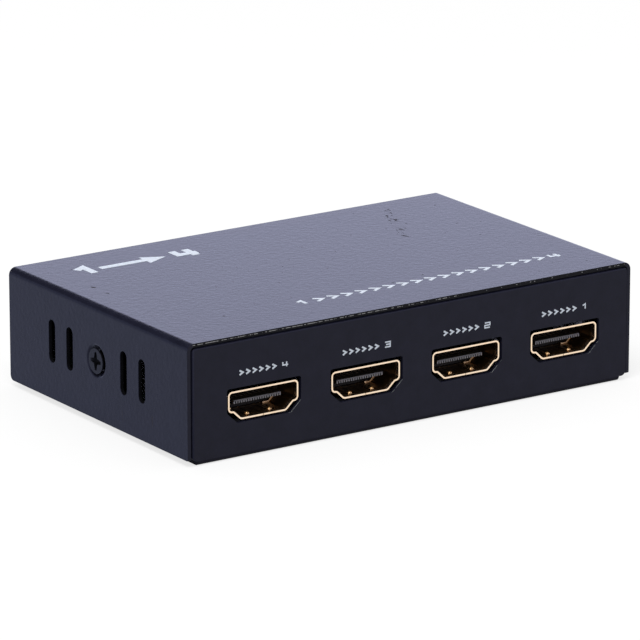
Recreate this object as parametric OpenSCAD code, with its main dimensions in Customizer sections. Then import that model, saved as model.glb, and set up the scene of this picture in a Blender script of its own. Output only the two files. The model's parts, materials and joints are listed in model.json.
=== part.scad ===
// A sheet-steel video splitter box: four output sockets in front, the input and the power inlet behind.
// +X is to the right of the front panel, +Y runs to the rear, +Z is up.
// The origin is at the middle of the underside.

/* [Case] */
// Width over the cover's side walls
case_w = 95.3; // [92:0.1:110]
// Depth from the front panel's face to the rear panel's face
case_d = 59.4; // [58:0.2:75]
// Height from the underside to the top of the cover
case_h = 22.2; // [21:0.1:30]
// Thickness of the painted sheet steel
sheet_t = 0.7; // [0.6:0.05:0.8]
// Outside radius of the cover's two top bends
cover_bend_r = 1.4; // [1:0.05:1.6]
// Outside radius of the tray's front and rear bends
tray_bend_r = 1; // [0.9:0.1:2]
// Gap between the cover and the upper edges of the tray's panels
panel_gap = 0.1; // [0.05:0.05:0.3]
// Gap between the cover and the left edges of the tray's panels
panel_gap_left = 0.3; // [0.1:0.05:0.5]
// Gap between the cover and the right edges of the tray's panels
panel_gap_right = 0.05; // [0.05:0.05:0.5]
// Height of the cover's lower edge above the underside
skirt_lift = 1.2; // [0.9:0.1:1.6]
// Corner radius at the lower rear ends of the cover's walls
skirt_rear_r = 1; // [0.3:0.1:2]
// Corner radius at the lower front ends of the cover's walls
skirt_front_r = 0.3; // [0.2:0.1:2]
// How far the tray's floor stops short of its panels at each side
floor_relief = 1.2; // [0.5:0.1:1.5]
// Height of the panels' lower edges, beside the floor's bends, above the underside
panel_low = 0.9; // [0.7:0.1:1.6]
// Radius of the panels' corners
panel_corner_r = 1; // [0.8:0.1:1.5]
// Radius rolled onto the upper and left edges of the panels when they are sheared
panel_roll_r = 0.5; // [0.2:0.05:0.55]

/* [Vents and cover screws] */
// Height of the vents and cover screws above the underside
side_z = 12; // [11.5:0.1:14]
// Width of a vent slot
vent_w = 2.2; // [1.6:0.1:2.6]
// Length of a vent slot, end to end
vent_h = 8; // [6:0.2:10]
// Distance from the cover screw to the nearest vent slot
vent_first = 9; // [7:0.2:10]
// Distance between the two vent slots of a pair
vent_pitch = 6; // [4:0.2:8]
// Radius of the screw dimple at the face of the wall
dimple_mouth_r = 3.25; // [3.2:0.05:3.6]
// Radius of the rounded shoulder between the wall and the dimple's cone
dimple_shoulder_r = 0.6; // [0.4:0.05:0.7]
// Radius of the screw's clearance hole in the dimple
dimple_hole_r = 1.7; // [1.6:0.05:1.9]
// Radius of the cover screw's thread
screw_r = 1.5; // [1.25:0.05:1.55]
// Radius of the cover screw's countersunk head
screw_head_r = 2.45; // [2.3:0.05:2.6]
// Height of the straight rim of the countersunk head
screw_rim = 0.2; // [0.1:0.05:0.3]
// Depth of the head's top below the wall's face
head_sink = 0.05; // [0:0.05:0.15]
// Length of the cover screw over its head
screw_len = 6; // [5:0.5:8]
// Reach of each arm of the cross recess from the screw's axis
recess_r = 1.7; // [1.2:0.05:1.8]
// Width of the cross recess's arms at the screw's axis
recess_w = 1.3; // [1:0.05:1.4]
// Width of the cross recess's arms at their ends
recess_tip = 0.5; // [0.4:0.05:0.7]
// Depth of the cross recess
recess_d = 1.4; // [1:0.1:1.6]
// Running clearance between a screw's thread and its tapped hole
thread_gap = 0.03; // [0.02:0.01:0.08]
// Clearance between the screw's head and the edge of the dimple's hole
seat_gap = 0.05; // [0.03:0.01:0.1]
// Width of the tray's screw ear along the case's depth
ear_w = 10; // [8:0.5:12]
// Height of the ear above the screw's axis
ear_rise = 4; // [3:0.1:5]
// Outside radius of the ear's bend
ear_bend_r = 1.2; // [1.1:0.05:1.6]
// Width of the notches beside the ear's bend
ear_notch = 0.8; // [0.5:0.1:1.2]
// Outer radius of the drawn collar round the ear's tapped hole
collar_r = 2.2; // [2:0.05:2.6]
// Length of that collar behind the ear
collar_len = 1.2; // [0.8:0.1:1.6]

/* [Circuit board] */
// Thickness of the circuit board
board_t = 1.6; // [1:0.1:2]
// Gap between the board and the tray's walls
board_gap = 0.5; // [0.3:0.1:0.8]
// Corner radius of the board
board_corner_r = 1.5; // [0.5:0.1:3]
// Height of the standoffs between the floor and the board
standoff_h = 4.55; // [4:0.05:6]
// Radius of the standoffs
standoff_r = 2.75; // [2.5:0.05:3]
// Radius of the standoffs' shank pressed into the floor
shank_r = 2.1; // [1.9:0.05:2.4]
// Distance of the board screws from the board's side and rear edges
board_screw_inset = 4; // [3.5:0.1:5]
// Radius of the board screws' thread
board_screw_r = 1.5; // [1.2:0.05:1.55]
// Length of the board screws under their heads
board_screw_len = 5; // [4:0.1:6]
// Radius of the board screws' pan heads
pan_r = 2.75; // [2.4:0.05:3]
// Height of the board screws' pan heads
pan_h = 2; // [1.6:0.1:2.4]

/* [Sockets] */
// Distance of the outermost output sockets from the case's sides
port_margin = 15.25; // [12:0.05:18]
// Offset of the row of output sockets from the case's middle
port_shift = 0.6; // [-1:0.1:1]
// Distance of the shells' front edges behind the panels' faces
port_recess = 0.3; // [0.1:0.05:0.6]
// Clearance beside and below a shell in its panel cut-out
port_gap = 0.4; // [0.3:0.05:0.6]
// Clearance above a shell in its panel cut-out
port_headroom = 0.65; // [0.3:0.05:0.8]
// Clearance beside the slanted lower sides of a shell in its panel cut-out
port_slant_gap = 0.9; // [0.6:0.05:1]
// Radius of the cut-out's upper corners
port_corner_r = 0.5; // [0.3:0.05:0.8]
// Width of the socket's opening
open_w = 14; // [13.8:0.05:14.2]
// Height of the socket's opening
open_h = 4.7; // [4.5:0.05:4.8]
// Corner radius of the opening's upper, wide part
open_corner_r = 0.55; // [0.3:0.05:0.7]
// Height of the step where the opening narrows
open_step = 1.45; // [1.2:0.05:1.7]
// Width of the opening at its floor
open_floor_w = 9.2; // [8.8:0.1:9.8]
// Sideways run of the slanted lower sides for each millimetre of rise
open_taper = 1.05; // [0.9:0.05:1.1]
// Radius of the bends at both ends of the slanted lower sides
open_bend_r = 0.7; // [0.5:0.05:0.7]
// Thickness of the formed shell
shell_t = 0.3; // [0.2:0.05:0.35]
// Length of the shell from front to back
shell_len = 11.3; // [10.5:0.1:12.5]
// Width of the seam under the shell
seam_w = 0.1; // [0.05:0.01:0.2]
// Depth of the cavity that a plug fills
cavity_d = 6; // [5.6:0.1:7]
// Height of the tabs that stop a plug at the end of the cavity
stop_h = 0.22; // [0.1:0.01:0.25]
// Width of a spring finger
finger_w = 1.1; // [0.8:0.1:1.3]
// Distance of the spring fingers from the shell's middle
finger_x = 2.35; // [2:0.05:2.8]
// Distance of the fingers' tips behind the front edge
finger_tip = 1.2; // [0.9:0.1:1.6]
// Height of the bump on each finger above the shell's floor
finger_crest = 0.4; // [0.3:0.05:0.6]
// Gap round each finger in its window
finger_gap = 0.2; // [0.15:0.05:0.3]
// Thickness of the fingers
finger_t = 0.2; // [0.15:0.01:0.25]
// Width of the shell's board legs
leg_w = 1.6; // [1.2:0.1:2]
// Reach of legs and terminals below the board
leg_reach = 0.8; // [0.5:0.1:1.2]
// Clearance round legs and terminals in the board's slots
leg_gap = 0.2; // [0.15:0.05:0.3]
// Width of the tongue
tongue_w = 9.8; // [9.6:0.1:10.4]
// Thickness of the tongue
tongue_t = 1; // [0.9:0.05:1.2]
// Height of the tongue's middle above the opening's floor
tongue_mid = 2.35; // [2.2:0.05:2.6]
// Height of the bevels above and below the tongue's tip
tongue_bevel = 0.2; // [0.1:0.05:0.25]
// Distance of the tongue's tip behind the shell's front edge
tongue_back = 1.9; // [1.2:0.1:2]
// Pitch of the contacts on each side of the tongue
contact_pitch = 1; // [0.95:0.01:1.02]
// Width of a contact
contact_w = 0.3; // [0.2:0.02:0.36]
// Thickness of a contact
contact_t = 0.12; // [0.1:0.01:0.15]
// Length of the contacts' board feet behind the shell
foot_len = 1.3; // [1:0.1:1.6]
// Clearance between the insulator and its shell
insulator_gap = 0.05; // [0.03:0.01:0.1]

/* [Rear inlets] */
// Sideways place of the input socket
input_x = -10.2; // [-20:0.1:-4]
// Distance of the power jack from the case's right side
jack_margin = 18.65; // [17.5:0.05:21]
// Distance of the power light from the power jack
led_spacing = 13; // [9:0.1:16]
// Distance of the jack's mouth behind the rear panel's face
jack_recess = 0.2; // [0.1:0.05:0.5]
// Height of the jack's axis above the board
jack_axis_h = 6.5; // [6:0.1:7]
// Width of the jack's body
jack_w = 9; // [8.6:0.1:10]
// Height of the jack's body above its axis
jack_rise = 4.5; // [4.2:0.1:5]
// Length of the jack's body behind its nose
jack_body_len = 10.8; // [10.4:0.1:12]
// Radius of the round nose that shows in the panel
jack_nose_r = 4; // [3.7:0.05:4.3]
// Length of the nose
jack_nose_len = 3.4; // [3:0.1:4]
// Radius of the jack's bore
jack_bore_r = 3.15; // [3:0.05:3.3]
// Depth of the jack's bore
jack_bore_d = 10.5; // [9.5:0.1:11]
// Radius of the jack's centre pin
jack_pin_r = 1; // [0.95:0.05:1.25]
// Distance of the centre pin's tip behind the mouth
jack_pin_back = 1.3; // [1:0.1:2]
// Radius of the pin's shoulder where the housing holds it
jack_shoulder_r = 1.3; // [1.25:0.05:1.5]
// Clearance round the nose in the panel
jack_gap = 0.25; // [0.15:0.05:0.4]
// Width of the jack's leaf spring
leaf_w = 2.4; // [2:0.1:2.8]
// Thickness of the jack's sheet-metal pieces
leaf_t = 0.3; // [0.25:0.05:0.4]
// Radius of the power light
led_r = 1.5; // [1.4:0.05:1.6]
// Height of the power light's axis above the board
led_axis_h = 4.2; // [3.5:0.1:5]
// Distance of the light's tip behind the rear panel's face
led_recess = 0.3; // [0.1:0.05:0.6]
// Clearance round the light in the panel
led_gap = 0.12; // [0.08:0.02:0.2]
// Width of the light's square leads
lead_w = 0.5; // [0.4:0.05:0.6]

/* [Board parts] */
// Width of the splitter chip
chip_w = 12; // [10:0.5:14]
// Height of the splitter chip
chip_h = 0.9; // [0.8:0.1:1.2]
// Length of the control chip
control_l = 10; // [9.8:0.1:10.6]
// Width of the control chip's body
control_w = 3.9; // [3.6:0.1:4.4]
// Height of the control chip's body
control_h = 1.5; // [1.3:0.1:1.8]
// Length of the crystal's can
crystal_l = 11; // [9:0.5:12]
// Width of the crystal's can
crystal_w = 4.6; // [4:0.1:5]
// Height of the crystal's can
crystal_h = 3.6; // [3:0.1:4]
// Width of the power inductor
inductor_w = 7; // [6:0.1:8]
// Height of the power inductor
inductor_h = 4; // [3:0.1:5]
// Radius of the electrolytic capacitors
can_r = 3.15; // [2.8:0.05:3.4]
// Height of the electrolytic capacitors over their bases
can_h = 5.4; // [4.5:0.1:6]

/* [Hidden] */
$fn = 48;
// Overlap of a cut past the face it opens
cut = 0.1;
front_y = -case_d / 2;
rear_y = case_d / 2;
wall_x = case_w / 2;
// The panels' half width, and the place of their middle
panel_half = wall_x - sheet_t - (panel_gap_left + panel_gap_right) / 2;
panel_mid = (panel_gap_left - panel_gap_right) / 2;
panel_top = case_h - sheet_t - panel_gap;
floor_half = panel_half - panel_mid - floor_relief;
// Top of the dimple's 45 degree cone, where its shoulder ends: radius and depth below the wall's face
cone_top_r = dimple_mouth_r - dimple_shoulder_r * sin(45);
cone_top_d = dimple_shoulder_r * (1 - cos(45));
// Depths along the cover screw, measured inward from the wall's face
head_cone_top = head_sink + screw_rim;
head_cone_r = head_cone_top + screw_head_r;
shank_top = head_cone_r - screw_r;
screw_tip = head_sink + screw_len;
tip_chamfer = 0.4;
// The dimple's flat floor, whose hole the screw's head rests in, and the back that rests on the ear
dimple_floor_d = head_cone_r - dimple_hole_r + seat_gap * sqrt(2);
dimple_floor_r = cone_top_r + cone_top_d - dimple_floor_d;
dimple_drop = dimple_floor_d + sheet_t;
// Back of the dimple's cone, one sheet thickness behind its front, drawn up to the wall's face
dimple_back_r = cone_top_r + cone_top_d + sheet_t * sqrt(2);
ear_out = wall_x - dimple_drop;
ear_top = side_z + ear_rise;
ear_reach = ear_bend_r + 3;
ear_corner_r = 2;
vent_places = [for (side = [-1, 1], step = [0, 1]) side * (vent_first + step * vent_pitch)];

board_z = sheet_t + standoff_h;
board_top = board_z + board_t;
board_half_w = ear_out - sheet_t - board_gap;
board_half_d = case_d / 2 - sheet_t - board_gap;
board_hole_gap = 0.2;
board_hole_r = board_screw_r + board_hole_gap;
tail_y = front_y + port_recess + shell_len + foot_len;
board_screw_x = board_half_w - board_screw_inset;
// Room between the rows of sockets' feet, surge arrays and screw heads
row_room = 1;
surge_size = [2.5, 1, 0.5];
surge_x = 2.5;
surge_y = tail_y + row_room + surge_size[1] / 2;
board_screw_rows = [
    surge_y + surge_size[1] / 2 + row_room + pan_r,
    board_half_d - board_screw_inset
];
board_screw_places = [for (x = [-1, 1], y = board_screw_rows) [x * board_screw_x, y]];

// Outward direction of the slanted sides, and the middles of the bends at their lower and upper ends
slant_run = sqrt(1 + open_taper * open_taper);
slant_out = [1, -open_taper] / slant_run;
floor_bend = [open_floor_w / 2 - open_bend_r * (slant_run - open_taper), open_bend_r];
step_bend_z = open_step - open_bend_r;
step_bend = [open_floor_w / 2 + open_bend_r * slant_run + open_taper * step_bend_z, step_bend_z];
port_pitch = (case_w - 2 * port_margin) / 3;
port_z = board_top + shell_t;
leg_inset = [3, 2.1];
leg_places = [for (side = [-1, 1], y = [leg_inset[0], shell_len - leg_inset[1]])
    [side * (open_w / 2 + shell_t / 2), y]];
leg_bottom = -shell_t - board_t - leg_reach;
stop_l = 0.7;
stop_room = 0.25;
finger_land = 0.4;
finger_root = cavity_d - finger_land;
upper_contacts = [for (i = [0:9]) (i - 4.5) * contact_pitch];
lower_contacts = [for (i = [0:8]) (i - 4) * contact_pitch];
tongue_lead = 0.9;
comb_d = 0.6;
comb_h = 0.6 * tongue_t;
comb_w = contact_pitch / 4;
comb_places = [for (i = [0:18]) (i - 9) * contact_pitch / 2];
tongue_top = tongue_mid + tongue_t / 2;
tongue_low = tongue_mid - tongue_t / 2;

jack_x = wall_x - jack_margin;
jack_z = board_top + jack_axis_h;
jack_len = jack_nose_len + jack_body_len;
jack_corner_r = 1.5;
jack_leg_bottom = -jack_axis_h - board_t - leg_reach;
// The leaf spring's upper line: its root, its flat, its crest and its tip
leaf_wall = 1.8;
leaf_root = jack_len - leaf_wall;
leaf_z = -jack_bore_r - 1.25;
leaf_crest = -jack_bore_r + 0.5;
leaf_flat_l = 3;
leaf_crest_y = 6.2;
leaf_crest_l = 1;
leaf_tip_y = 4.9;
leaf_path = [
    [leaf_root, leaf_z], [leaf_root - leaf_flat_l, leaf_z],
    [leaf_crest_y + leaf_crest_l, leaf_crest], [leaf_crest_y, leaf_crest], [leaf_tip_y, leaf_z]
];
leaf_gap = 0.25;
switch_y = leaf_root - leaf_flat_l / 2;
switch_w = 1.6;
pin_plate_w = 3;
pin_plate_t = 0.4;
led_x = jack_x - led_spacing;
led_z = board_top + led_axis_h;
led_barrel = 4.4;
led_flange_r = led_r + 0.4;
led_flange_t = 0.9;
led_lead_x = 1.27;
led_bend = led_barrel + led_flange_t + 1.6;

// Dot moulded over a chip's first pin
mark_r = 0.45;
mark_d = 0.1;
mark_inset = 1.1;
chip_place = [0, -1];
control_place = [-27, 2];
crystal_place = [-14, 8];
inductor_place = [17, 5];
regulator_place = [30, 4];
can_places = [[14, -8], [26, -6]];
can_base_rim = 0.15;
can_base_w = 2 * (can_r + can_base_rim);
can_base_h = 0.8;
control_pitch = 1.27;
control_pins = [for (side = [-1, 1], i = [0:7]) [side, (i - 3.5) * control_pitch]];
control_pin_t = 0.2;
control_pin_reach = 1;
regulator_size = [6.5, 3.5, 1.6];
regulator_lead_t = 0.25;
regulator_leads_x = [-2.3, 0, 2.3];
ceramic_size = [1.6, 0.8, 0.8];
ceramic_room = 2;
ceramic_ring = chip_w / 2 + ceramic_room;

// Places of the sockets, seen from the front: 1 is on the right, 4 on the left
function port_x(i) = port_shift + (2.5 - i) * port_pitch;

// A path's points followed by the same path one thickness lower, as a closed outline
function strip(path, t) = concat(path, [for (i = [len(path) - 1:-1:0]) path[i] - [0, t]]);

// A path's points in reverse on the other side of x = 0
function mirrored(path) = [for (i = [len(path) - 1:-1:0]) [-path[i][0], path[i][1]]];

// Flat shapes

// A block that stands on y = 0 with its two upper corners rounded
module arch_2d(w, h, r) {
    translate([-w / 2, 0]) square([w, h - r]);
    translate([-w / 2 + r, 0]) square([w - 2 * r, h]);
    for (side = [-1, 1]) translate([side * (w / 2 - r), h - r]) circle(r);
}

// The same block with its two lower corners rounded
module basin_2d(w, h, r) {
    translate([0, h]) mirror([0, 1]) arch_2d(w, h, r);
}

// A block round the middle with four rounded corners
module rounded_2d(w, h, r) {
    square([w - 2 * r, h], center = true);
    square([w, h - 2 * r], center = true);
    for (x = [-1, 1], y = [-1, 1]) translate([x * (w / 2 - r), y * (h / 2 - r)]) circle(r);
}

// An upright slot with round ends
module slot_2d(w, h) {
    square([w, h - w], center = true);
    for (side = [-1, 1]) translate([0, side * (h - w) / 2]) circle(d = w);
}

// The socket's outline grown by g: a wide upper part over a floor with slanted sides
module socket_2d(g) {
    upper_h = open_h - open_step;
    right = [
        [floor_bend[0], -g], floor_bend + (open_bend_r + g) * slant_out,
        step_bend - (open_bend_r - g) * slant_out, step_bend,
        step_bend + [0, open_bend_r - g], [step_bend[0], open_h / 2]
    ];
    translate([0, open_step + upper_h / 2])
        rounded_2d(open_w + 2 * g, upper_h + 2 * g, open_corner_r + g);
    difference() {
        polygon(concat(right, mirrored(right)));
        for (side = [-1, 1]) translate([side * step_bend[0], step_bend[1]]) circle(open_bend_r - g);
    }
    for (side = [-1, 1]) translate([side * floor_bend[0], floor_bend[1]]) circle(open_bend_r + g);
}

// The panel's cut-out for a socket: square above, with slanted lower sides
module port_cut_2d() {
    half = open_w / 2 + shell_t + port_gap;
    low_z = -shell_t - port_gap;
    top_z = open_h + shell_t + port_headroom;
    slant = open_floor_w / 2 + (shell_t + port_slant_gap) * slant_run;
    low = slant + open_taper * low_z;
    side_low_z = (half - slant) / open_taper;
    intersection() {
        translate([0, low_z]) arch_2d(2 * half, top_z - low_z, port_corner_r);
        polygon([
            [-low, low_z], [low, low_z], [half, side_low_z],
            [half, top_z], [-half, top_z], [-half, side_low_z]
        ]);
    }
}

// Directions of extrusion

// A flat shape in X and Z drawn from y = 0 towards the rear
module along_y(length) {
    translate([0, length, 0]) rotate([90, 0, 0]) linear_extrude(length) children();
}

// A flat shape in Y and Z drawn to both sides of x = 0
module along_x(length) {
    rotate([90, 0, 90]) linear_extrude(length, center = true) children();
}

// A turned piece whose axis runs inward from a side wall at the screw's place
module at_screw(side) {
    translate([side * wall_x, 0, side_z]) rotate([0, -side * 90, 0]) children();
}

// Places

module at_output(i) {
    translate([port_x(i), front_y + port_recess, port_z]) children();
}

module at_input() {
    translate([input_x, rear_y - port_recess, port_z]) rotate([0, 0, 180]) children();
}

module at_jack() {
    translate([jack_x, rear_y - jack_recess, jack_z]) rotate([0, 0, 180]) children();
}

module at_light() {
    translate([led_x, rear_y - led_recess, led_z]) rotate([0, 0, 180]) children();
}

module on_board(place) {
    translate([place[0], place[1], board_top]) children();
}

// Cover: one sheet bent into the top and the two side walls

module cover_profile() {
    difference() {
        arch_2d(case_w, case_h, cover_bend_r);
        arch_2d(case_w - 2 * sheet_t, case_h - sheet_t, cover_bend_r - sheet_t);
        translate([-case_w, -cut]) square([2 * case_w, skirt_lift + cut]);
    }
}

// What rounding takes off a square corner at the origin
module corner_waste_2d(r) {
    difference() {
        translate([-cut, -cut]) square(r + cut);
        translate([r, r]) circle(r);
    }
}

module skirt_corner() {
    translate([0, front_y, skirt_lift]) along_x(case_w + 2 * cut) children();
}

module top_cover() {
    color([0.11, 0.11, 0.13])
    difference() {
        union() {
            translate([0, front_y, 0]) along_y(case_d) cover_profile();
            for (side = [-1, 1]) at_screw(side)
                translate([0, 0, sheet_t / 2])
                    cylinder(
                        h = dimple_drop - sheet_t / 2,
                        r1 = dimple_back_r - sheet_t / 2,
                        r2 = dimple_back_r - dimple_drop
                    );
        }
        for (side = [-1, 1]) {
            at_screw(side) dimple_cut();
            for (y = vent_places)
                translate([side * wall_x, y, side_z]) along_x(4 * sheet_t) slot_2d(vent_w, vent_h);
        }
        skirt_corner() corner_waste_2d(skirt_front_r);
        rotate([0, 0, 180]) skirt_corner() corner_waste_2d(skirt_rear_r);
    }
}

// The rounded mouth, the cone, the flat floor and the hole that the dimple leaves open
module dimple_cut() {
    rotate_extrude() {
        difference() {
            translate([0, -cut]) square([dimple_mouth_r, cone_top_d + cut]);
            translate([dimple_mouth_r, dimple_shoulder_r]) circle(dimple_shoulder_r);
        }
        polygon([
            [0, cone_top_d],
            [cone_top_r, cone_top_d],
            [dimple_floor_r, dimple_floor_d],
            [0, dimple_floor_d]
        ]);
        square([dimple_hole_r, dimple_drop + cut]);
    }
}

// Tray: one sheet bent into the floor, the front panel, the rear panel and two screw ears

module tray_profile() {
    difference() {
        union() {
            basin_2d(case_d, panel_top / 2, tray_bend_r);
            translate([0, tray_bend_r]) arch_2d(case_d, panel_top - tray_bend_r, panel_roll_r);
        }
        translate([0, sheet_t]) basin_2d(case_d - 2 * sheet_t, panel_top, tray_bend_r - sheet_t);
    }
}

// Seen from the front, the panels reach past the floor at both sides and have rounded corners
module tray_front_2d() {
    translate([-floor_half, 0]) square([2 * floor_half, panel_top / 2]);
    translate([panel_mid, (panel_low + panel_top) / 2])
        rounded_2d(2 * panel_half, panel_top - panel_low, panel_corner_r);
}

// Seen from above, the panels' left edges are rolled, and the right ones square
module tray_plan_2d() {
    translate([panel_mid, 0]) {
        rounded_2d(2 * panel_half, case_d, panel_roll_r);
        translate([0, front_y]) square([panel_half, case_d]);
    }
}

module tray_sheet() {
    intersection() {
        translate([panel_mid, 0, 0]) along_x(2 * panel_half) tray_profile();
        translate([0, front_y, 0]) along_y(case_d) tray_front_2d();
        linear_extrude(case_h) tray_plan_2d();
    }
}

// A quarter outline whose lower right corner is rounded, for the ear's bend
module bend_2d(right, low, r, reach, top) {
    translate([right - reach, low]) square([reach - r, top - low]);
    translate([right - reach, low + r]) square([reach, top - low - r]);
    translate([right - r, low + r]) circle(r);
}

module ear() {
    difference() {
        union() {
            intersection() {
                rotate([90, 0, 0]) linear_extrude(ear_w, center = true)
                    difference() {
                        bend_2d(ear_out, 0, ear_bend_r, ear_reach, ear_top);
                        bend_2d(ear_out - sheet_t, sheet_t, ear_bend_r - sheet_t, ear_reach, ear_top + cut);
                    }
                translate([ear_out, 0, 0]) along_x(2 * ear_reach) arch_2d(ear_w, ear_top, ear_corner_r);
            }
            at_screw(1) translate([0, 0, dimple_drop + sheet_t / 2])
                cylinder(h = sheet_t / 2 + collar_len, r = collar_r);
        }
        at_screw(1) cylinder(h = dimple_drop + sheet_t + collar_len + cut, r = screw_r + thread_gap);
    }
}

module port_cut() {
    translate([0, -port_recess - cut, 0]) along_y(sheet_t + 2 * cut) port_cut_2d();
}

module base_tray() {
    color([0.11, 0.11, 0.13])
    union() {
        difference() {
            tray_sheet();
            for (i = [1:4]) at_output(i) port_cut();
            at_input() port_cut();
            at_jack() translate([0, -jack_recess - cut, 0])
                along_y(sheet_t + 2 * cut) circle(jack_nose_r + jack_gap);
            at_light() translate([0, -led_recess - cut, 0])
                along_y(sheet_t + 2 * cut) circle(led_r + led_gap);
            for (place = board_screw_places)
                translate([place[0], place[1], -cut])
                    cylinder(h = sheet_t + 2 * cut, r = shank_r + thread_gap);
            for (turn = [0, 180]) rotate([0, 0, turn])
                translate([ear_out - ear_bend_r, -ear_w / 2 - ear_notch, -cut])
                    cube([floor_half, ear_w + 2 * ear_notch, sheet_t + 2 * cut]);
        }
        for (turn = [0, 180]) rotate([0, 0, turn]) ear();
    }
}

// Cover screws: countersunk, with a cross recess

module cover_screw() {
    difference() {
        rotate_extrude()
            polygon([
                [0, head_sink], [screw_head_r, head_sink],
                [screw_head_r, head_cone_top], [screw_r, shank_top],
                [screw_r, screw_tip - tip_chamfer], [screw_r - tip_chamfer, screw_tip], [0, screw_tip]
            ]);
        translate([0, 0, head_sink]) cross_recess();
    }
}

// Four arms that narrow towards their ends and towards the bottom
module cross_recess() {
    translate([0, 0, -cut]) intersection() {
        cylinder(h = recess_d + cut, r1 = recess_r + cut, r2 = recess_tip / 2);
        linear_extrude(recess_d + 2 * cut)
            for (turn = [0:90:270]) rotate(turn)
                polygon([
                    [-recess_w / 2, 0], [recess_w / 2, 0],
                    [recess_tip / 2, recess_r + cut], [-recess_tip / 2, recess_r + cut]
                ]);
    }
}

module left_cover_screw() {
    color([0.09, 0.09, 0.1]) at_screw(-1) cover_screw();
}

module right_cover_screw() {
    color([0.09, 0.09, 0.1]) at_screw(1) cover_screw();
}

// Circuit board and what holds it

module circuit_board() {
    color([0.05, 0.09, 0.08])
    difference() {
        translate([0, 0, board_z]) linear_extrude(board_t)
            rounded_2d(2 * board_half_w, 2 * board_half_d, board_corner_r);
        for (place = board_screw_places)
            translate([place[0], place[1], board_z - cut]) cylinder(h = board_t + 2 * cut, r = board_hole_r);
        for (i = [1:4]) at_output(i) leg_slots();
        at_input() leg_slots();
        at_jack() {
            board_slot([0, leaf_root - leaf_t / 2], [leaf_w, leaf_t], jack_axis_h);
            board_slot([0, switch_y], [switch_w, leaf_t], jack_axis_h);
            board_slot([0, jack_len + pin_plate_t / 2], [pin_plate_w, pin_plate_t], jack_axis_h);
        }
        at_light() for (side = [-1, 1])
            board_slot([side * led_lead_x, led_bend - lead_w / 2], [lead_w, lead_w], led_axis_h);
    }
}

// A slot through the board for a leg of the given section, from a piece whose origin is h above the board
module board_slot(place, section, h) {
    size = [section[0] + 2 * leg_gap, section[1] + 2 * leg_gap, board_t + 2 * cut];
    translate([place[0], place[1], -h - board_t / 2]) cube(size, center = true);
}

module leg_slots() {
    for (place = leg_places) board_slot(place, [shell_t, leg_w], shell_t);
}

module board_standoffs() {
    color([0.75, 0.75, 0.78])
    for (place = board_screw_places) translate([place[0], place[1], 0])
        difference() {
            union() {
                translate([0, 0, sheet_t]) cylinder(h = standoff_h, r = standoff_r);
                translate([0, 0, thread_gap]) cylinder(h = sheet_t, r = shank_r);
            }
            translate([0, 0, -cut]) cylinder(h = board_z + 2 * cut, r = board_screw_r + thread_gap);
        }
}

module board_screws() {
    pan_bevel = 0.7;
    color([0.7, 0.7, 0.72])
    for (place = board_screw_places) on_board(place)
        difference() {
            union() {
                translate([0, 0, -board_screw_len]) cylinder(h = board_screw_len + cut, r = board_screw_r);
                cylinder(h = pan_h - pan_bevel, r = pan_r);
                translate([0, 0, pan_h - pan_bevel])
                    cylinder(h = pan_bevel, r1 = pan_r, r2 = pan_r - pan_bevel);
            }
            translate([0, 0, pan_h]) rotate([180, 0, 0]) cross_recess();
        }
}

// Sockets: a formed shell, an insulator with its tongue, and the contacts on the tongue

// One spring finger: a flat leaf in its window, with a round bump near its tip
module spring_finger() {
    bump_r = 0.45 * finger_w;
    translate([-finger_w / 2, finger_tip, -finger_t])
        cube([finger_w, finger_root + cut - finger_tip, finger_t]);
    intersection() {
        translate([0, finger_tip + finger_w / 2, finger_crest - bump_r]) sphere(bump_r, $fn = 24);
        translate([-finger_w / 2, finger_tip, -finger_t / 2]) cube(finger_w);
    }
}

// Tabs along the cavity's end, on the floor outside the fingers and up the slanted sides
module plug_stop_2d() {
    middle = finger_x + finger_w / 2 + finger_gap + stop_room;
    difference() {
        socket_2d(shell_t / 2);
        socket_2d(-stop_h);
        translate([-open_w, open_step]) square([2 * open_w, open_h]);
        translate([-middle, -open_h]) square([2 * middle, 2 * open_h]);
    }
}

module socket_shell() {
    difference() {
        along_y(shell_len)
            difference() {
                socket_2d(shell_t);
                socket_2d(0);
                translate([-seam_w / 2, -shell_t - cut]) square([seam_w, shell_t + 2 * cut]);
            }
        for (side = [-1, 1], z = [-shell_t / 2, open_h + shell_t / 2])
            translate([side * finger_x, (finger_tip - finger_gap + finger_root) / 2, z])
                cube(
                    [finger_w + 2 * finger_gap, finger_root - finger_tip + finger_gap, shell_t + 2 * cut],
                    center = true
                );
    }
    translate([0, cavity_d - stop_l, 0]) along_y(stop_l) plug_stop_2d();
    for (side = [-1, 1]) {
        translate([side * finger_x, 0, 0]) spring_finger();
        translate([side * finger_x, 0, open_h]) mirror([0, 0, 1]) spring_finger();
    }
    for (place = leg_places)
        translate([place[0] - shell_t / 2, place[1] - leg_w / 2, leg_bottom])
            cube([shell_t, leg_w, open_h / 2 - leg_bottom]);
}

// A contact: a run along the tongue, a drop behind the shell and a foot on the board
module contact(x, z) {
    run_start = tongue_back + tongue_lead + contact_t;
    drop_y = shell_len + 2 * contact_t;
    translate([x - contact_w / 2, 0, 0]) {
        translate([0, run_start, z]) cube([contact_w, drop_y - run_start, contact_t]);
        translate([0, drop_y - contact_t, -shell_t]) cube([contact_w, contact_t, z + shell_t + contact_t]);
        translate([0, drop_y - contact_t, -shell_t])
            cube([contact_w, shell_len + foot_len - drop_y + contact_t, contact_t]);
    }
}

module socket_contacts() {
    for (x = upper_contacts) contact(x, tongue_top - contact_t);
    for (x = lower_contacts) contact(x, tongue_low);
}

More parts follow.
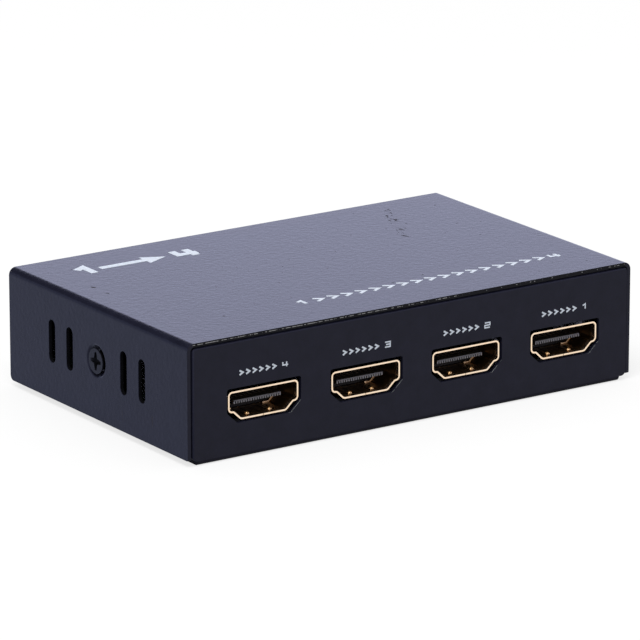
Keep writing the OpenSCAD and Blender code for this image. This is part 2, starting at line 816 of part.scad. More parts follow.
// The tongue from the side, with its bevelled tip
module tongue_2d() {
    polygon([
        [tongue_back, tongue_low + tongue_bevel], [tongue_back + tongue_lead, tongue_low],
        [cavity_d + cut, tongue_low], [cavity_d + cut, tongue_top],
        [tongue_back + tongue_lead, tongue_top], [tongue_back, tongue_top - tongue_bevel]
    ]);
}

module socket_insulator() {
    difference() {
        union() {
            translate([0, cavity_d, 0]) along_y(shell_len - cavity_d) socket_2d(-insulator_gap);
            along_x(tongue_w) tongue_2d();
        }
        socket_contacts();
        for (x = comb_places)
            translate([x - comb_w / 2, tongue_back - cut, tongue_low - cut])
                cube([comb_w, comb_d + cut, comb_h + cut]);
    }
}

module output_shell(i) {
    color([0.86, 0.69, 0.4]) at_output(i) socket_shell();
}

module output_insulator(i) {
    color([0.07, 0.07, 0.08]) at_output(i) socket_insulator();
}

module output_contacts(i) {
    color([0.8, 0.65, 0.38]) at_output(i) socket_contacts();
}

module input_shell() {
    color([0.86, 0.69, 0.4]) at_input() socket_shell();
}

module input_insulator() {
    color([0.07, 0.07, 0.08]) at_input() socket_insulator();
}

module input_contacts() {
    color([0.8, 0.65, 0.38]) at_input() socket_contacts();
}

// Power jack: a moulded housing round a bore, a centre pin, a leaf spring and a switch terminal

module power_jack_housing() {
    mouth_bevel = 0.4;
    slot_front = leaf_tip_y - leaf_gap;
    slot_low = leaf_z - leaf_t - 0.8;
    slot_top = leaf_crest + leaf_gap;
    color([0.06, 0.06, 0.06]) at_jack()
    difference() {
        union() {
            rotate([-90, 0, 0]) cylinder(h = jack_nose_len + cut, r = jack_nose_r);
            translate([0, jack_nose_len, -jack_axis_h])
                along_y(jack_body_len) arch_2d(jack_w, jack_axis_h + jack_rise, jack_corner_r);
        }
        translate([0, -cut, 0]) rotate([-90, 0, 0]) cylinder(h = jack_bore_d + cut, r = jack_bore_r);
        translate([0, -cut, 0]) rotate([-90, 0, 0])
            cylinder(h = mouth_bevel + cut, r1 = jack_bore_r + mouth_bevel + cut, r2 = jack_bore_r);
        rotate([-90, 0, 0]) cylinder(h = jack_len + cut, r = jack_shoulder_r + thread_gap);
        translate([-leaf_w / 2 - leaf_gap, slot_front, slot_low])
            cube([leaf_w + 2 * leaf_gap, leaf_root + leaf_gap - slot_front, slot_top - slot_low]);
        for (y = [leaf_root - leaf_t / 2, switch_y])
            translate([-leaf_w / 2 - leaf_gap, y - leaf_t / 2 - leaf_gap, -jack_axis_h - cut])
                cube([leaf_w + 2 * leaf_gap, leaf_t + 2 * leaf_gap, slot_low + jack_axis_h + 2 * cut]);
    }
}

module power_jack_pin() {
    color([0.78, 0.78, 0.8]) at_jack()
    union() {
        translate([0, jack_pin_back + jack_pin_r, 0]) sphere(jack_pin_r);
        translate([0, jack_pin_back + jack_pin_r, 0]) rotate([-90, 0, 0])
            cylinder(h = jack_bore_d - jack_pin_back - jack_pin_r + cut, r = jack_pin_r);
        translate([0, jack_bore_d, 0]) rotate([-90, 0, 0])
            cylinder(h = jack_len - jack_bore_d + cut, r = jack_shoulder_r);
        translate([-pin_plate_w / 2, jack_len, jack_leg_bottom])
            cube([pin_plate_w, pin_plate_t, pin_plate_w / 2 - jack_leg_bottom]);
    }
}

module power_jack_spring() {
    color([0.78, 0.78, 0.8]) at_jack()
    union() {
        along_x(leaf_w) polygon(strip(leaf_path, leaf_t));
        translate([-leaf_w / 2, leaf_root - leaf_t, jack_leg_bottom])
            cube([leaf_w, leaf_t, leaf_z - jack_leg_bottom]);
    }
}

module power_jack_switch() {
    color([0.78, 0.78, 0.8]) at_jack()
        translate([-switch_w / 2, switch_y - leaf_t / 2, jack_leg_bottom])
            cube([switch_w, leaf_t, leaf_z - leaf_t - thread_gap - jack_leg_bottom]);
}

// Power light: a domed lens on two bent leads

module power_light() {
    color([0.75, 0.12, 0.1]) at_light() rotate([-90, 0, 0])
    union() {
        translate([0, 0, led_r]) sphere(led_r);
        translate([0, 0, led_r]) cylinder(h = led_barrel - led_r, r = led_r);
        translate([0, 0, led_barrel]) cylinder(h = led_flange_t, r = led_flange_r);
    }
}

module power_light_leads() {
    lead_bottom = -led_axis_h - board_t - leg_reach;
    root = led_barrel + led_flange_t;
    color([0.78, 0.78, 0.8]) at_light() for (side = [-1, 1])
        translate([side * led_lead_x - lead_w / 2, 0, 0]) {
            translate([0, root, -lead_w / 2]) cube([lead_w, led_bend - root, lead_w]);
            translate([0, led_bend - lead_w, lead_bottom]) cube([lead_w, lead_w, lead_w / 2 - lead_bottom]);
        }
}

// Parts on the board

module splitter_chip() {
    color([0.1, 0.1, 0.11]) on_board(chip_place)
    difference() {
        linear_extrude(chip_h) square(chip_w, center = true);
        translate([-chip_w / 2 + mark_inset, chip_w / 2 - mark_inset, chip_h - mark_d])
            cylinder(h = 2 * mark_d, r = mark_r);
    }
}

module control_chip() {
    color([0.1, 0.1, 0.11]) on_board(control_place)
    translate([0, 0, control_pin_t])
        difference() {
            linear_extrude(control_h) square([control_l, control_w], center = true);
            translate([-control_l / 2 + mark_inset, -control_w / 2 + mark_inset, control_h - mark_d])
                cylinder(h = 2 * mark_d, r = mark_r);
        }
}

module control_chip_pins() {
    pin_w = 0.4;
    shoulder_z = control_pin_t + control_h / 2;
    foot = 0.5;
    color([0.78, 0.78, 0.8]) on_board(control_place)
    for (pin = control_pins) rotate([0, 0, pin[0] > 0 ? 0 : 180])
        translate([pin[1] - pin_w / 2, control_w / 2, 0]) {
            translate([0, 0, shoulder_z]) cube([pin_w, control_pin_reach - foot, control_pin_t]);
            translate([0, control_pin_reach - foot - control_pin_t, 0])
                cube([pin_w, control_pin_t, shoulder_z + control_pin_t]);
            translate([0, control_pin_reach - foot - control_pin_t, 0])
                cube([pin_w, foot + control_pin_t, control_pin_t]);
        }
}

module crystal() {
    rim = 0.3;
    color([0.75, 0.75, 0.78]) on_board(crystal_place) rotate([0, 0, 90])
    union() {
        linear_extrude(rim) slot_2d(crystal_w + 2 * rim, crystal_l + 2 * rim);
        linear_extrude(crystal_h) slot_2d(crystal_w, crystal_l);
    }
}

module voltage_regulator() {
    color([0.1, 0.1, 0.11]) on_board(regulator_place)
        translate([0, 0, regulator_lead_t + regulator_size[2] / 2]) cube(regulator_size, center = true);
}

// The wide tab behind the regulator and the three leads before it
module regulator_leads() {
    reach = 1.6;
    lead = 0.7;
    tab = 3;
    under = 0.6;
    color([0.78, 0.78, 0.8]) on_board(regulator_place) {
        for (x = regulator_leads_x)
            translate([x - lead / 2, -regulator_size[1] / 2 - reach, 0])
                cube([lead, reach + under, regulator_lead_t]);
        translate([-tab / 2, regulator_size[1] / 2 - under, 0]) cube([tab, reach + under, regulator_lead_t]);
    }
}

module power_inductor() {
    wall = 0.9;
    well_d = 0.3;
    color([0.3, 0.3, 0.31]) on_board(inductor_place)
    difference() {
        linear_extrude(inductor_h) rounded_2d(inductor_w, inductor_w, wall);
        translate([0, 0, inductor_h - well_d]) cylinder(h = well_d + cut, r = inductor_w / 2 - wall);
    }
}

module capacitor_cans() {
    groove = 0.25;
    groove_z = 1.2;
    shoulder = 0.3;
    color([0.78, 0.78, 0.8]) for (place = can_places) on_board(place)
        translate([0, 0, can_base_h])
            rotate_extrude()
                polygon([
                    [0, 0], [can_r, 0], [can_r, groove_z - groove], [can_r - groove, groove_z],
                    [can_r, groove_z + groove], [can_r, can_h - shoulder],
                    [can_r - shoulder, can_h], [0, can_h]
                ]);
}

module capacitor_bases() {
    half = can_base_w / 2;
    bevel = 1.3;
    color([0.1, 0.1, 0.1]) for (place = can_places) on_board(place)
        linear_extrude(can_base_h)
            polygon([
                [-half, -half], [half, -half], [half, half - bevel],
                [half - bevel, half], [bevel - half, half], [-half, half - bevel]
            ]);
}

module ceramic_capacitors() {
    color([0.62, 0.5, 0.36]) for (turn = [0:90:270], step = [-1, 0, 1])
        on_board(chip_place) rotate([0, 0, turn])
            translate([ceramic_ring, step * chip_w / 4, ceramic_size[2] / 2]) rotate([0, 0, 90])
                cube(ceramic_size, center = true);
}

module surge_arrays() {
    color([0.1, 0.1, 0.11]) for (i = [1:4], side = [-1, 1])
        on_board([port_x(i) + side * surge_x, surge_y])
            translate([0, 0, surge_size[2] / 2]) cube(surge_size, center = true);
}

top_cover();
base_tray();
left_cover_screw();
right_cover_screw();
circuit_board();
board_standoffs();
board_screws();
output_shell(1);  // output_1_shell
output_insulator(1);  // output_1_insulator
output_contacts(1);  // output_1_contacts
output_shell(2);  // output_2_shell
output_insulator(2);  // output_2_insulator
output_contacts(2);  // output_2_contacts
output_shell(3);  // output_3_shell
output_insulator(3);  // output_3_insulator
output_contacts(3);  // output_3_contacts
output_shell(4);  // output_4_shell
output_insulator(4);  // output_4_insulator
output_contacts(4);  // output_4_contacts
input_shell();
input_insulator();
input_contacts();
power_jack_housing();
power_jack_pin();
power_jack_spring();
power_jack_switch();
power_light();
power_light_leads();
splitter_chip();
control_chip();
control_chip_pins();
crystal();
voltage_regulator();
regulator_leads();
power_inductor();
capacitor_cans();
capacitor_bases();
ceramic_capacitors();
surge_arrays();
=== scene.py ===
"""Looks of a sheet-metal video splitter box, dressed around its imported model, in metres."""
import json
import math

import bmesh
import bpy
from mathutils import Matrix, Vector

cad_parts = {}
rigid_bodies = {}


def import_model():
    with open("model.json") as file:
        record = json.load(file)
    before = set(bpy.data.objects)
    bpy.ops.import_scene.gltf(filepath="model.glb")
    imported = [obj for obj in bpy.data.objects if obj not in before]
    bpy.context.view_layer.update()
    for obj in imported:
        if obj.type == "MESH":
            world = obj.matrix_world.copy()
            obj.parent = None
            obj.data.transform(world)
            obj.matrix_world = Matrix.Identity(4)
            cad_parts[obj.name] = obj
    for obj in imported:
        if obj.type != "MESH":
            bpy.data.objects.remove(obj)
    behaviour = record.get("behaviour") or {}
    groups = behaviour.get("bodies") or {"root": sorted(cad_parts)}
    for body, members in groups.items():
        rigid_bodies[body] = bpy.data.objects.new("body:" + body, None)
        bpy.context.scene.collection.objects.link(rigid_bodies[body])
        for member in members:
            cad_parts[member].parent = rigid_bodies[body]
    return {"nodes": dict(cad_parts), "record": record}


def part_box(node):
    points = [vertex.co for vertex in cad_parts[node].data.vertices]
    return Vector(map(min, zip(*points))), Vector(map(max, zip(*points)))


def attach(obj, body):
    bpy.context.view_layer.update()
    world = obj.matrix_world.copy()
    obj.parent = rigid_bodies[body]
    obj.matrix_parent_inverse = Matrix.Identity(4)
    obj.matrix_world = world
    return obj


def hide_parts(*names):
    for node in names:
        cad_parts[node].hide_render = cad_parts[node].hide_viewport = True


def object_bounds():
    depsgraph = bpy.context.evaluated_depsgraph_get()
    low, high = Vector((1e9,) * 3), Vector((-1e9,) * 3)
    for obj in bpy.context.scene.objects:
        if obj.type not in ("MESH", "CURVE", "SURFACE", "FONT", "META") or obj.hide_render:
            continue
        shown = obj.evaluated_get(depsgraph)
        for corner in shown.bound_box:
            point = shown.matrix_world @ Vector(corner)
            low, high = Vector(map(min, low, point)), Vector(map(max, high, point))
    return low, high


for left_over in list(bpy.data.objects):
    bpy.data.objects.remove(left_over)
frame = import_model()
cad_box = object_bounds()

MM = 0.001
scene = bpy.context.scene
nodes = frame["nodes"]
case_low, case_high = cad_box

# Camera, fitted to the case's edges and the socket openings in the photograph
CAMERA_PLACE = (-0.525332, -0.777438, 0.284400)
CAMERA_AIM = (-0.010844, -0.015954, 0.017391)
CAMERA_LENS_MM = 303.64
CAMERA_SENSOR_MM = 36

# Studio
FLOOR_SPREAD = 3.0
FLOOR_ALBEDO = 0.3
FLOOR_CLOUD = 0.2
FLOOR_GLOW = 0.74
COOL_GLOW = (0.50, 0.57, 0.88, 1)
COOL_FROM_X = -0.0478
COOL_FULL_X = -0.0486
CONTACT_FROM = 0.3 * MM
CONTACT_REACH = 0.002
CONTACT_SHADOW_DARK = 0.85
FILL_LEVEL = 0.6
SWEEP_COLOUR = (1.53, 1.59, 2.16)
CEILING_COLOUR = (0.05, 0.056, 0.05)
SWEEP_TOP_DEG = 23
CEILING_FROM_DEG = 29
FLAG_AIM = (-0.6, 0.79, 0.1)
FLAG_INNER_DEG = 40
FLAG_OUTER_DEG = 50
FLAG_LOW_DEG = 15
FLAG_HIGH_DEG = 17
LAMP_PLACE = (-0.6, -0.5, 1.4)
LAMP_SIZE = 0.9
LAMP_WATTS = 11


# Node helpers

NOISE_LOW = 0.3
NOISE_HIGH = 0.7


def add(tree, kind, inputs=None, **settings):
    """Adds a node, with its settings and with its inputs set or linked."""
    node = tree.nodes.new(kind)
    for key, value in settings.items():
        setattr(node, key, value)
    plug(tree, node, inputs or {})
    return node


def plug(tree, node, inputs):
    """Sets each input that is given as a value, and links each one that is given as a socket."""
    for key, value in inputs.items():
        if isinstance(value, bpy.types.NodeSocket):
            tree.links.new(value, node.inputs[key])
        else:
            node.inputs[key].default_value = value


def grey(level):
    return (level, level, level, 1)


def colour(red, green, blue):
    return (red, green, blue, 1)


def object_place(tree):
    return add(tree, "ShaderNodeTexCoord").outputs["Object"]


def vector_math(tree, operation, inputs):
    return add(tree, "ShaderNodeVectorMath", inputs, operation=operation).outputs


def stretched(tree, place, factors):
    return vector_math(tree, "MULTIPLY", {0: place, 1: factors})[0]


def noise(tree, place, size, detail=2.0):
    """Soft random lumps of about the given size, from 0 to 1."""
    inputs = {"Vector": place, "Scale": 1 / size, "Detail": detail, "Roughness": 0.5}
    return add(tree, "ShaderNodeTexNoise", inputs).outputs["Fac"]


def ranged(tree, value, from_low, from_high, to_low=0.0, to_high=1.0):
    """Carries a value from one range over to another, and holds it at the ends."""
    inputs = {
        "Value": value,
        "From Min": from_low,
        "From Max": from_high,
        "To Min": to_low,
        "To Max": to_high,
    }
    return add(tree, "ShaderNodeMapRange", inputs, clamp=True).outputs["Result"]


def evened(tree, lumps, low=0.0, high=1.0):
    """Spreads the levels that noise mostly takes over the given range."""
    return ranged(tree, lumps, NOISE_LOW, NOISE_HIGH, low, high)


def calc(tree, operation, first, second):
    return add(tree, "ShaderNodeMath", {0: first, 1: second}, operation=operation).outputs[0]


def product(tree, *values):
    """All the values multiplied together."""
    total = values[0]
    for value in values[1:]:
        total = calc(tree, "MULTIPLY", total, value)
    return total


def fade_in(tree, value, span):
    """0 before a span of values and 1 past it."""
    return ranged(tree, value, *span)


def fade_out(tree, value, span):
    """1 before a span of values and 0 past it."""
    return ranged(tree, value, *span, 1, 0)


def between(tree, value, rise, fall):
    """1 in a band of values, fading in over the rise and out over the fall."""
    return product(tree, fade_in(tree, value, rise), fade_out(tree, value, fall))


def absolute(tree, value):
    return add(tree, "ShaderNodeMath", {0: value}, operation="ABSOLUTE").outputs[0]


def apart(tree, value, other):
    """How far a value is from another, either way."""
    return absolute(tree, calc(tree, "SUBTRACT", value, other))


def blended(tree, factor, first, second):
    inputs = {0: factor, 6: first, 7: second}
    return add(tree, "ShaderNodeMix", inputs, data_type="RGBA").outputs[2]


def axis_value(tree, place, axis):
    return add(tree, "ShaderNodeSeparateXYZ", {0: place}).outputs[axis]


def bumped(tree, height, depth):
    """A normal from a height of 0 to 1 that stands for a depth in metres."""
    return add(tree, "ShaderNodeBump", {"Height": height, "Distance": depth, "Strength": 1.0}).outputs[0]


def new_material(name):
    material = bpy.data.materials.new(name)
    material.use_nodes = True
    tree = material.node_tree
    return material, tree, tree.nodes["Principled BSDF"]


# Where things are, for the masks

PORT_PITCH = 21.6 * MM


def distance_to_line(tree, place, start, end):
    """Distance of each point from the segment between two points."""
    run = Vector(end) - Vector(start)
    from_start = vector_math(tree, "SUBTRACT", {0: place, 1: start})[0]
    along = vector_math(tree, "DOT_PRODUCT", {0: from_start, 1: run})["Value"]
    share = ranged(tree, along, 0, run.length_squared)
    nearest = vector_math(tree, "SCALE", {0: run, "Scale": share})[0]
    return vector_math(tree, "DISTANCE", {0: from_start, 1: nearest})["Value"]


def width_from_middle(tree, place):
    return absolute(tree, axis_value(tree, place, 0))


def depth_from_middle(tree, place):
    return absolute(tree, axis_value(tree, place, 1))


def port_offset(tree, place):
    """Distance to the right of the nearest socket's middle."""
    low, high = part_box("output_1_shell")
    across = calc(tree, "SUBTRACT", axis_value(tree, place, 0), (low.x + high.x) / 2)
    inputs = {0: across, 1: PORT_PITCH / 2, 2: -PORT_PITCH / 2}
    return add(tree, "ShaderNodeMath", inputs, operation="WRAP").outputs[0]


# Powder coat of the cover and the tray, with its wear, painted shade and painted highlights
# Each pair of places, depths or levels is where a mask begins to change and where it is done

PAINT_DEEP = colour(0.0107, 0.0110, 0.0230)
PAINT_THIN = colour(0.0143, 0.0146, 0.0298)
PAINT_ROUGHNESS = (0.18, 0.26)
PAINT_SPECULAR = 0.12
PAINT_CLOUD = 3 * MM
PEEL_SIZE = 0.9 * MM
PEEL_SHARE = 0.75
PEEL_DEPTH = 0.041 * MM
GRAIN_SIZE = 0.3 * MM
TOP_Z = 22.2 * MM
SCUFF_BROWN = colour(0.03, 0.022, 0.02)
SCUFF_START = (31.4 * MM, 24.4 * MM, TOP_Z)
SCUFF_END = (23.4 * MM, 6.6 * MM, TOP_Z)
SCUFF_REACH = 1.9 * MM
SCUFF_CORE = 0.4 * SCUFF_REACH
FLECK_SIZE = 0.5 * MM
FLECK_STRETCH = (1.0, 0.45, 1.0)
FLECK_LEVELS = (0.57, 0.62)
FLECK_LOSS = 0.2
FLECK_STRENGTH = 0.7
PIT_SIZE = 1.1 * MM
PIT_STRETCH = (1.0, 1.0, 0.2)
PIT_LEVELS = (0.74, 0.78)
PIT_STRENGTH = 0.45
LONG_NICK = ((-42.0 * MM, 10.4 * MM, TOP_Z), (-41.75 * MM, 9.8 * MM, TOP_Z), 0.85)
SHORT_NICK = ((-41.9 * MM, 5.6 * MM, TOP_Z), (-41.7 * MM, 5.2 * MM, TOP_Z), 0.55)
NICK_CORE = 0.1 * MM
NICK_REACH = 0.38 * MM
# Painted shade: near-black for cut edges, slot sides, the screw recess and the board's sawn edges, which sit
# in shade
SHADE_BLACK = colour(0.003, 0.003, 0.004)
CUT_ROUGHNESS = 0.6
CUT_Y = (case_high.y - 0.06 * MM, case_high.y - 0.02 * MM)
CUT_END_X = (case_high.x - 1.4 * MM, case_high.x - 1 * MM)
# Painted highlight: grey dashes along the top's cut edge stand for a glint on its rounded edge
DASH_HIGHLIGHT_GREY = grey(0.40)
DASH_FROM_Z = (21.83 * MM, 21.88 * MM)
DASH_TO_Z = (21.94 * MM, 21.99 * MM)
DASH_SIZE = 0.3 * MM
DASH_STRETCH = (0.7, 0.45, 0.25)
DASH_LEVELS = (0.44, 0.50)
DASH_FROM_X = (case_low.x + 0.9 * MM, case_low.x + 1.2 * MM)
DASH_FEWER_X = (-12 * MM, 16 * MM)
DASH_LOSS = 0.16
SLOT_SUNK_X = (case_high.x - 0.14 * MM, case_high.x - 0.06 * MM)
SLOT_FROM_Y = (5 * MM, 6 * MM)
SLOT_TO_Y = (25 * MM, 26 * MM)
SLOT_TOP_Z = (case_high.z - 2.5 * MM, case_high.z - 2 * MM)
# Painted highlight on the lower right lips of the front panel's openings
LIP_HIGHLIGHT_GREY = colour(0.27, 0.29, 0.29)
LIP_FROM_DEPTH = (0.01 * MM, 0.03 * MM)
LIP_TO_DEPTH = (0.1 * MM, 0.16 * MM)
LIP_FROM_Z = (4 * MM, 4.1 * MM)
LIP_TO_Z = (8.1 * MM, 8.6 * MM)
LIP_FROM_OFFSET = (4.9 * MM, 5.5 * MM)
LIP_FROM_X = (case_low.x + 3 * MM, case_low.x + 4 * MM)
LIP_PATCH = 0.7 * MM
LIP_LEVELS = (0.3, 0.5)


def scuff_mask(tree, place):
    """A loose trail of dark flecks across the top's right half, two nicks at its left and a few pits."""
    away = distance_to_line(tree, place, SCUFF_START, SCUFF_END)
    far = ranged(tree, away, SCUFF_CORE, SCUFF_REACH, 0.0, FLECK_LOSS)
    flecks = noise(tree, stretched(tree, place, FLECK_STRETCH), FLECK_SIZE, detail=3)
    trail = ranged(tree, calc(tree, "SUBTRACT", flecks, far), *FLECK_LEVELS, 0, FLECK_STRENGTH)
    specks = noise(tree, stretched(tree, place, PIT_STRETCH), PIT_SIZE, detail=1)
    pits = ranged(tree, specks, *PIT_LEVELS, 0, PIT_STRENGTH)
    marks = calc(tree, "MAXIMUM", trail, pits)
    for start, end, strength in (LONG_NICK, SHORT_NICK):
        nick = ranged(tree, distance_to_line(tree, place, start, end), NICK_CORE, NICK_REACH, strength, 0)
        marks = calc(tree, "MAXIMUM", marks, nick)
    return marks


def shaded_cut_edge_mask(tree, place):
    """The top's cut front and rear edges, which take painted shade."""
    edge = fade_in(tree, depth_from_middle(tree, place), CUT_Y)
    return product(tree, edge, fade_out(tree, width_from_middle(tree, place), CUT_END_X))


def highlight_dash_mask(tree, place):
    """Painted highlight: bright dashes along the top's cut edge, fewer towards the right."""
    band = between(tree, axis_value(tree, place, 2), DASH_FROM_Z, DASH_TO_Z)
    dashes = noise(tree, stretched(tree, place, DASH_STRETCH), DASH_SIZE, detail=2)
    along = axis_value(tree, place, 0)
    fewer = ranged(tree, along, *DASH_FEWER_X, 0.0, DASH_LOSS)
    bare = fade_in(tree, calc(tree, "SUBTRACT", dashes, fewer), DASH_LEVELS)
    return product(tree, band, bare, fade_in(tree, along, DASH_FROM_X))


def slot_shade_mask(tree, place):
    """The vent slots' cut sides, painted in shade black."""
    sunk = fade_out(tree, width_from_middle(tree, place), SLOT_SUNK_X)
    slots = between(tree, depth_from_middle(tree, place), SLOT_FROM_Y, SLOT_TO_Y)
    low = fade_out(tree, axis_value(tree, place, 2), SLOT_TOP_Z)
    return product(tree, sunk, slots, low)


def lip_highlight_mask(tree, place):
    """The lower right lips of the front panel's openings: a painted highlight, in patches."""
    behind = calc(tree, "SUBTRACT", axis_value(tree, place, 1), case_low.y)
    lip = between(tree, behind, LIP_FROM_DEPTH, LIP_TO_DEPTH)
    low = between(tree, axis_value(tree, place, 2), LIP_FROM_Z, LIP_TO_Z)
    right = fade_in(tree, port_offset(tree, place), LIP_FROM_OFFSET)
    off_panel_edge = fade_in(tree, axis_value(tree, place, 0), LIP_FROM_X)
    patches = fade_in(tree, noise(tree, place, LIP_PATCH, detail=2), LIP_LEVELS)
    return product(tree, lip, low, right, off_panel_edge, patches)


def powder_coat(name, on_cover):
    """Semi-gloss black powder coat: bluish black, with orange peel over a fine grain."""
    material, tree, shader = new_material(name)
    place = object_place(tree)
    peel = noise(tree, place, PEEL_SIZE, detail=1)
    grain = noise(tree, place, GRAIN_SIZE, detail=2)
    cloud = evened(tree, noise(tree, place, PAINT_CLOUD, detail=5))
    tone = blended(tree, cloud, PAINT_DEEP, PAINT_THIN)
    roughness = evened(tree, grain, *PAINT_ROUGHNESS)
    if on_cover:
        scuffs = scuff_mask(tree, place)
        cut = shaded_cut_edge_mask(tree, place)
        slot_shade = slot_shade_mask(tree, place)
        edge_tone = blended(tree, highlight_dash_mask(tree, place), SHADE_BLACK, DASH_HIGHLIGHT_GREY)
        tone = blended(tree, scuffs, tone, SCUFF_BROWN)
        # Painted shade on the cut edges, with painted highlight dashes
        tone = blended(tree, cut, tone, edge_tone)
        # Painted shade: the vent slots' sides set near-black
        tone = blended(tree, slot_shade, tone, SHADE_BLACK)
        picked_out = calc(tree, "MAXIMUM", scuffs, slot_shade)
        picked_out = calc(tree, "MAXIMUM", picked_out, product(tree, cut, CUT_ROUGHNESS))
        roughness = calc(tree, "MAXIMUM", roughness, picked_out)
    else:
        # Painted highlight on the openings' lower right lips
        tone = blended(tree, lip_highlight_mask(tree, place), tone, LIP_HIGHLIGHT_GREY)
    height = calc(tree, "ADD", product(tree, peel, PEEL_SHARE), product(tree, grain, 1 - PEEL_SHARE))
    plug(tree, shader, {
        "Base Color": tone,
        "Roughness": roughness,
        "Specular IOR Level": PAINT_SPECULAR,
        "Normal": bumped(tree, height, PEEL_DEPTH),
    })
    return material


# Metals

GOLD_DEEP = colour(0.95, 0.72, 0.50)
GOLD_PALE = colour(0.98, 0.79, 0.60)
# Painted glint on the spring fingers' bumps
GOLD_GLINT = colour(0.90, 0.58, 0.27)
# Painted highlight along the plug stops' cut edges
GOLD_EDGE_GLINT = colour(0.66, 0.46, 0.24)
GOLD_ROUGHNESS = (0.16, 0.26)
GOLD_LUMP = 0.8 * MM
GOLD_GRAIN = 0.14 * MM
GOLD_SKIN = 0.002 * MM
# Painted shade: the shells' insides and roofs, darker than the plating
SHADED_GOLD_DEEP = colour(0.20, 0.12, 0.05)
SHADED_GOLD_PALE = colour(0.28, 0.17, 0.08)
ROOF_SHADE = colour(0.03, 0.02, 0.012)
INSIDE_DULLNESS = 0.12
INSIDE_SHADE_Y = (case_high.y - 1.4 * MM, case_high.y - 0.6 * MM)
ROOF_SHADE_FROM_TOP = (0.15 * MM, 0.1 * MM)
ROOF_SHADE_FROM_RIM = (0.3 * MM, 0.2 * MM)
FINGER_X = 2.35 * MM
FINGER_DEPTH = 2.05 * MM
FINGER_REACH = (0.4 * MM, 0.5 * MM)
STOP_DEPTH = 5.6 * MM
STOP_REACH = (0.1 * MM, 0.14 * MM)
STOP_HEIGHT = (1.6 * MM, 1.7 * MM)
SCREW_DEEP = colour(0.006, 0.006, 0.010)
SCREW_PALE = colour(0.010, 0.010, 0.016)
SCREW_ROUGHNESS = (0.25, 0.38)
SCREW_SPECULAR = 0.12
SCREW_LUMP = 1 * MM
SCREW_GRAIN = 0.12 * MM
SCREW_SKIN = 0.012 * MM
SCREW_PROUD = 0.2 * MM
RECESS_DEPTH = (0.3 * MM, 0.15 * MM)
RECESS_DULLNESS = 0.4
TIN_DEEP = colour(0.52, 0.52, 0.53)
TIN_PALE = colour(0.70, 0.70, 0.71)


def plated(name, deep, thin, low, high, lump, depth):
    """Plated metal: two close tones in soft lumps, uneven gloss and a faint skin."""
    material, tree, shader = new_material(name)
    place = object_place(tree)
    lumps = noise(tree, place, lump, detail=3)
    fine = noise(tree, place, lump / 6, detail=2)
    plug(tree, shader, {
        "Base Color": blended(tree, evened(tree, lumps), deep, thin),
        "Metallic": 1.0,
        "Roughness": evened(tree, fine, low, high),
        "Normal": bumped(tree, fine, depth),
    })
    return material


def finger_glint_mask(tree, place):
    """Painted glints on the spring fingers' bumps, at both sides of each socket's middle."""
    beside = apart(tree, absolute(tree, port_offset(tree, place)), FINGER_X)
    behind = apart(tree, depth_from_middle(tree, place), case_high.y - FINGER_DEPTH)
    return fade_out(tree, calc(tree, "MAXIMUM", beside, behind), FINGER_REACH)


def stop_glint_mask(tree, place):
    """A painted highlight along the cut edge of the plug stop at the end of each socket's mouth."""
    behind = apart(tree, depth_from_middle(tree, place), case_high.y - STOP_DEPTH)
    low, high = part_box("output_1_insulator")
    under = fade_out(tree, axis_value(tree, place, 2), [low.z + up for up in STOP_HEIGHT])
    return product(tree, fade_out(tree, behind, STOP_REACH), under)


def gold_shell(name):
    """Gold plate, bright on the rolled front rim; dull inside, in painted shade, with painted glints on the
    spring fingers' bumps and the plug stops, and painted shade on the roof.
    """
    material, tree, shader = new_material(name)
    place = object_place(tree)
    depth = depth_from_middle(tree, place)
    inside = fade_out(tree, depth, INSIDE_SHADE_Y)
    lumps = evened(tree, noise(tree, place, GOLD_LUMP, detail=3))
    fine = noise(tree, place, GOLD_GRAIN, detail=2)
    rim_tone = blended(tree, lumps, GOLD_DEEP, GOLD_PALE)
    inside_tone = blended(tree, lumps, SHADED_GOLD_DEEP, SHADED_GOLD_PALE)
    # Painted glints on the spring fingers' bumps
    inside_tone = blended(tree, finger_glint_mask(tree, place), inside_tone, GOLD_GLINT)
    # Painted highlight along the plug stop's edge
    inside_tone = blended(tree, stop_glint_mask(tree, place), inside_tone, GOLD_EDGE_GLINT)
    # Painted shade inside the shell, behind the rim
    tone = blended(tree, inside, rim_tone, inside_tone)
    low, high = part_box("output_1_shell")
    above = fade_in(tree, axis_value(tree, place, 2), [high.z - gap for gap in ROOF_SHADE_FROM_TOP])
    behind_rim = fade_out(tree, depth, [-low.y - gap for gap in ROOF_SHADE_FROM_RIM])
    dullness = product(tree, inside, INSIDE_DULLNESS)
    plug(tree, shader, {
        # Painted shade on the shell's roof behind the rim
        "Base Color": blended(tree, product(tree, above, behind_rim), tone, ROOF_SHADE),
        "Metallic": 1.0,
        "Roughness": calc(tree, "ADD", evened(tree, fine, *GOLD_ROUGHNESS), dullness),
        "Normal": bumped(tree, fine, GOLD_SKIN),
    })
    return material


def screw_black(name):
    """Black oxide, with painted shade down in the cross recess."""
    material, tree, shader = new_material(name)
    place = object_place(tree)
    face = case_high.x + SCREW_PROUD
    sunk = fade_out(tree, width_from_middle(tree, place), [face - gap for gap in RECESS_DEPTH])
    lumps = evened(tree, noise(tree, place, SCREW_LUMP, detail=3))
    grain = noise(tree, place, SCREW_GRAIN, detail=2)
    dullness = product(tree, sunk, RECESS_DULLNESS)
    plug(tree, shader, {
        # Painted shade: near-black down in the cross recess
        "Base Color": blended(tree, sunk, blended(tree, lumps, SCREW_DEEP, SCREW_PALE), SHADE_BLACK),
        "Roughness": calc(tree, "ADD", evened(tree, grain, *SCREW_ROUGHNESS), dullness),
        "Specular IOR Level": SCREW_SPECULAR,
        "Normal": bumped(tree, grain, SCREW_SKIN),
    })
    return material


# Mouldings, board, light and ink

